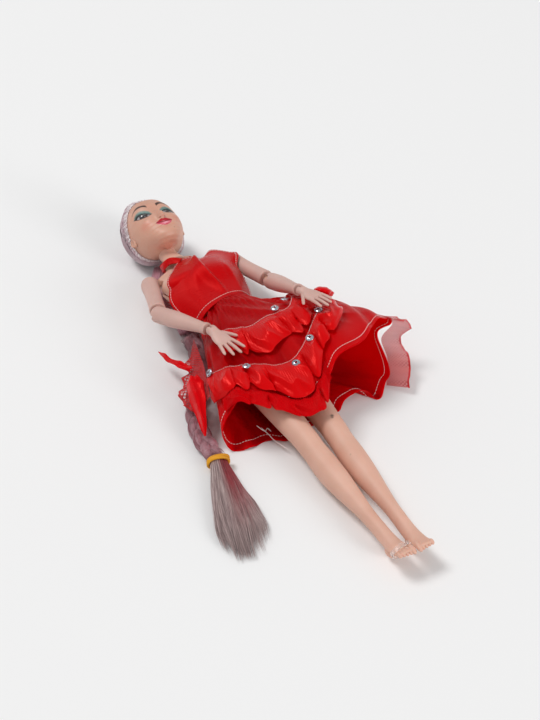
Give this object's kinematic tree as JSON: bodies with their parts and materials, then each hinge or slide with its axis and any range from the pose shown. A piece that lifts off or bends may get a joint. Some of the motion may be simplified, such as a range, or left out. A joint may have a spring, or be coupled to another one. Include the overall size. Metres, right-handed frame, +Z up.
{
  "type": "fashion doll",
  "caption": "Jointed fashion doll lying on its back in a red satin party dress with gathered tiers, net flounces and a long silver-pink braid.",
  "frame": {"origin": "on the floor under the middle of the hips, on the flat underside of the skirt that the doll lies on", "axes": "+X the doll's left, +Y toward the crown of the head, +Z up from the floor"},
  "size_m": [0.138, 0.2809, 0.0428],
  "materials": {
    "body_plastic": "satin moulded",
    "head_vinyl": "soft vinyl, painted face",
    "hair": "glossy rooted fibre",
    "yellow_elastic": "plain",
    "joint_plastic": "plain moulded",
    "arm_plastic": "satin moulded",
    "leg_vinyl": "soft vinyl",
    "clear_plastic": "clear film",
    "red_satin": "shiny satin",
    "red_net": "stiff net",
    "red_ribbon": "glossy ribbon",
    "silver_sequin": "silvered"
  },
  "bodies": {
    "torso": {"torso_front": "body_plastic", "torso_back": "body_plastic", "neck_knob": "joint_plastic", "hip_axle": "joint_plastic", "bodice_front": "red_satin", "bodice_back_right": "red_satin", "bodice_back_placket": "red_satin", "bodice_back_left": "red_satin", "halter_strap": "red_satin", "underskirt": "red_satin", "upper_ruffle": "red_satin", "lower_ruffle": "red_satin", "sheer_ruffle": "red_net", "net_flounce_right": "red_net", "net_flounce_left": "red_net", "ribbon_right_upper": "red_ribbon", "ribbon_right_lower": "red_ribbon", "bow_left": "red_ribbon", "sequin_1": "silver_sequin", "sequin_2": "silver_sequin", "sequin_3": "silver_sequin", "sequin_4": "silver_sequin", "sequin_5": "silver_sequin", "sequin_6": "silver_sequin", "sequin_7": "silver_sequin", "ponytail": "hair", "braid": "hair", "hair_tie": "yellow_elastic", "hair_tail": "hair"},
    "head": {"head_shell": "head_vinyl", "hair_cap": "hair"},
    "right_shoulder": {"right_shoulder_peg": "joint_plastic", "right_shoulder_pin": "joint_plastic"},
    "right_upper_arm": {"right_upper_arm": "arm_plastic"},
    "right_elbow": {"right_elbow_peg": "joint_plastic", "right_elbow_pin": "joint_plastic"},
    "right_forearm": {"right_forearm": "arm_plastic"},
    "right_wrist": {"right_wrist_peg": "joint_plastic", "right_wrist_pin": "joint_plastic"},
    "right_hand": {"right_hand": "arm_plastic"},
    "left_shoulder": {"left_shoulder_peg": "joint_plastic", "left_shoulder_pin": "joint_plastic"},
    "left_upper_arm": {"left_upper_arm": "arm_plastic"},
    "left_elbow": {"left_elbow_peg": "joint_plastic", "left_elbow_pin": "joint_plastic"},
    "left_forearm": {"left_forearm": "arm_plastic"},
    "left_wrist": {"left_wrist_peg": "joint_plastic", "left_wrist_pin": "joint_plastic"},
    "left_hand": {"left_hand": "arm_plastic"},
    "right_leg": {"right_leg": "leg_vinyl", "clear_foot_band": "clear_plastic"},
    "left_leg": {"left_leg": "leg_vinyl"}
  },
  "joints": [
    {"name": "head_turn", "type": "hinge", "parent": "torso", "child": "head", "pos_m": [-0.0049, 0.0915, 0.0139], "axis": [-0.038, 0.9962, 0.078], "range_deg": [-75, 75], "deforming": ["ponytail", "braid", "hair_tie", "hair_tail", "halter_strap"]},
    {"name": "right_shoulder_swing", "type": "hinge", "parent": "torso", "child": "right_shoulder", "pos_m": [-0.0246, 0.073, 0.013], "axis": [-1, 0, 0], "range_deg": [-4, 120], "deforming": ["underskirt", "upper_ruffle", "lower_ruffle", "sheer_ruffle", "net_flounce_right", "net_flounce_left", "ribbon_right_upper", "ribbon_right_lower", "bow_left", "sequin_1", "sequin_2", "sequin_3", "sequin_4", "sequin_5", "sequin_6", "sequin_7", "bodice_front", "ponytail", "braid", "hair_tie", "hair_tail"]},
    {"name": "right_shoulder_spread", "type": "hinge", "parent": "right_shoulder", "child": "right_upper_arm", "pos_m": [-0.0246, 0.073, 0.013], "axis": [0, 0.2279, -0.9737], "range_deg": [0, 80], "deforming": ["underskirt", "upper_ruffle", "lower_ruffle", "sheer_ruffle", "net_flounce_right", "net_flounce_left", "ribbon_right_upper", "ribbon_right_lower", "bow_left", "sequin_1", "sequin_2", "sequin_3", "sequin_4", "sequin_5", "sequin_6", "sequin_7", "bodice_front", "ponytail", "braid", "hair_tie", "hair_tail"]},
    {"name": "right_elbow_swivel", "type": "hinge", "parent": "right_upper_arm", "child": "right_elbow", "pos_m": [-0.0341, 0.03879, 0.02101], "axis": [-0.261, -0.9399, 0.22], "range_deg": [-8, 60], "deforming": ["underskirt", "upper_ruffle", "lower_ruffle", "sheer_ruffle", "net_flounce_right", "net_flounce_left", "ribbon_right_upper", "ribbon_right_lower", "bow_left", "sequin_1", "sequin_2", "sequin_3", "sequin_4", "sequin_5", "sequin_6", "sequin_7", "bodice_front", "ponytail", "braid", "hair_tie", "hair_tail"]},
    {"name": "right_elbow_bend", "type": "hinge", "parent": "right_elbow", "child": "right_forearm", "pos_m": [-0.0341, 0.03879, 0.02101], "axis": [-0.087, 0.2499, 0.9644], "range_deg": [-35, 50], "deforming": ["underskirt", "upper_ruffle", "lower_ruffle", "sheer_ruffle", "net_flounce_right", "net_flounce_left", "ribbon_right_upper", "ribbon_right_lower", "bow_left", "sequin_1", "sequin_2", "sequin_3", "sequin_4", "sequin_5", "sequin_6", "sequin_7", "bodice_front", "ponytail", "braid", "hair_tie", "hair_tail"]},
    {"name": "right_wrist_swivel", "type": "hinge", "parent": "right_forearm", "child": "right_wrist", "pos_m": [-0.02081, 0.00319, 0.03143], "axis": [0.3374, -0.9034, 0.2645], "range_deg": [-50, 50], "deforming": ["underskirt", "upper_ruffle", "lower_ruffle", "sheer_ruffle", "net_flounce_right", "net_flounce_left", "ribbon_right_upper", "ribbon_right_lower", "bow_left", "sequin_1", "sequin_2", "sequin_3", "sequin_4", "sequin_5", "sequin_6", "sequin_7", "bodice_front"]},
    {"name": "right_wrist_bend", "type": "hinge", "parent": "right_wrist", "child": "right_hand", "pos_m": [-0.02081, 0.00319, 0.03143], "axis": [-0.9368, -0.3499, 0], "range_deg": [-8, 40], "deforming": ["underskirt", "upper_ruffle", "lower_ruffle", "sheer_ruffle", "net_flounce_right", "net_flounce_left", "ribbon_right_upper", "ribbon_right_lower", "bow_left", "sequin_1", "sequin_2", "sequin_3", "sequin_4", "sequin_5", "sequin_6", "sequin_7", "bodice_front"]},
    {"name": "left_shoulder_swing", "type": "hinge", "parent": "torso", "child": "left_shoulder", "pos_m": [0.0246, 0.073, 0.013], "axis": [-1, 0, 0], "range_deg": [-4, 120], "deforming": ["underskirt", "upper_ruffle", "lower_ruffle", "sheer_ruffle", "net_flounce_right", "net_flounce_left", "ribbon_right_upper", "ribbon_right_lower", "bow_left", "sequin_1", "sequin_2", "sequin_3", "sequin_4", "sequin_5", "sequin_6", "sequin_7", "bodice_front", "ponytail", "braid", "hair_tie", "hair_tail"]},
    {"name": "left_shoulder_spread", "type": "hinge", "parent": "left_shoulder", "child": "left_upper_arm", "pos_m": [0.0246, 0.073, 0.013], "axis": [0, -0.1983, 0.9801], "range_deg": [0, 80], "deforming": ["underskirt", "upper_ruffle", "lower_ruffle", "sheer_ruffle", "net_flounce_right", "net_flounce_left", "ribbon_right_upper", "ribbon_right_lower", "bow_left", "sequin_1", "sequin_2", "sequin_3", "sequin_4", "sequin_5", "sequin_6", "sequin_7", "bodice_front", "ponytail", "braid", "hair_tie", "hair_tail"]},
    {"name": "left_elbow_swivel", "type": "hinge", "parent": "left_upper_arm", "child": "left_elbow", "pos_m": [0.03129, 0.03793, 0.02009], "axis": [0.1839, -0.9634, 0.1949], "range_deg": [-60, 60], "deforming": ["underskirt", "upper_ruffle", "lower_ruffle", "sheer_ruffle", "net_flounce_right", "net_flounce_left", "ribbon_right_upper", "ribbon_right_lower", "bow_left", "sequin_1", "sequin_2", "sequin_3", "sequin_4", "sequin_5", "sequin_6", "sequin_7", "bodice_front", "ponytail", "braid", "hair_tie", "hair_tail"]},
    {"name": "left_elbow_bend", "type": "hinge", "parent": "left_elbow", "child": "left_forearm", "pos_m": [0.03129, 0.03793, 0.02009], "axis": [-0.7666, -0.2647, -0.5851], "range_deg": [-20, 62], "deforming": ["underskirt", "upper_ruffle", "lower_ruffle", "sheer_ruffle", "net_flounce_right", "net_flounce_left", "ribbon_right_upper", "ribbon_right_lower", "bow_left", "sequin_1", "sequin_2", "sequin_3", "sequin_4", "sequin_5", "sequin_6", "sequin_7", "bodice_front", "ponytail", "braid", "hair_tie", "hair_tail"]},
    {"name": "left_wrist_swivel", "type": "hinge", "parent": "left_forearm", "child": "left_wrist", "pos_m": [0.02972, 0.00288, 0.03801], "axis": [-0.04, -0.8897, 0.4548], "range_deg": [-50, 50], "deforming": ["underskirt", "upper_ruffle", "lower_ruffle", "sheer_ruffle", "net_flounce_right", "net_flounce_left", "ribbon_right_upper", "ribbon_right_lower", "bow_left", "sequin_1", "sequin_2", "sequin_3", "sequin_4", "sequin_5", "sequin_6", "sequin_7", "bodice_front"]},
    {"name": "left_wrist_bend", "type": "hinge", "parent": "left_wrist", "child": "left_hand", "pos_m": [0.02972, 0.00288, 0.03801], "axis": [-0.999, 0.0449, 0], "range_deg": [-8, 40], "deforming": ["underskirt", "upper_ruffle", "lower_ruffle", "sheer_ruffle", "net_flounce_right", "net_flounce_left", "ribbon_right_upper", "ribbon_right_lower", "bow_left", "sequin_1", "sequin_2", "sequin_3", "sequin_4", "sequin_5", "sequin_6", "sequin_7", "bodice_front"]},
    {"name": "right_hip_swing", "type": "hinge", "parent": "torso", "child": "right_leg", "pos_m": [-0.01, 0, 0.013], "axis": [-1, 0, 0], "range_deg": [-20, 20], "deforming": ["underskirt", "upper_ruffle", "lower_ruffle", "sheer_ruffle", "net_flounce_right", "net_flounce_left", "ribbon_right_upper", "ribbon_right_lower", "bow_left", "sequin_1", "sequin_2", "sequin_3", "sequin_4", "sequin_5", "sequin_6", "sequin_7", "bodice_front"]},
    {"name": "left_hip_swing", "type": "hinge", "parent": "torso", "child": "left_leg", "pos_m": [0.01, 0, 0.013], "axis": [-1, 0, 0], "range_deg": [-20, 90], "deforming": ["underskirt", "upper_ruffle", "lower_ruffle", "sheer_ruffle", "net_flounce_right", "net_flounce_left", "ribbon_right_upper", "ribbon_right_lower", "bow_left", "sequin_1", "sequin_2", "sequin_3", "sequin_4", "sequin_5", "sequin_6", "sequin_7", "bodice_front"]}
  ]
}
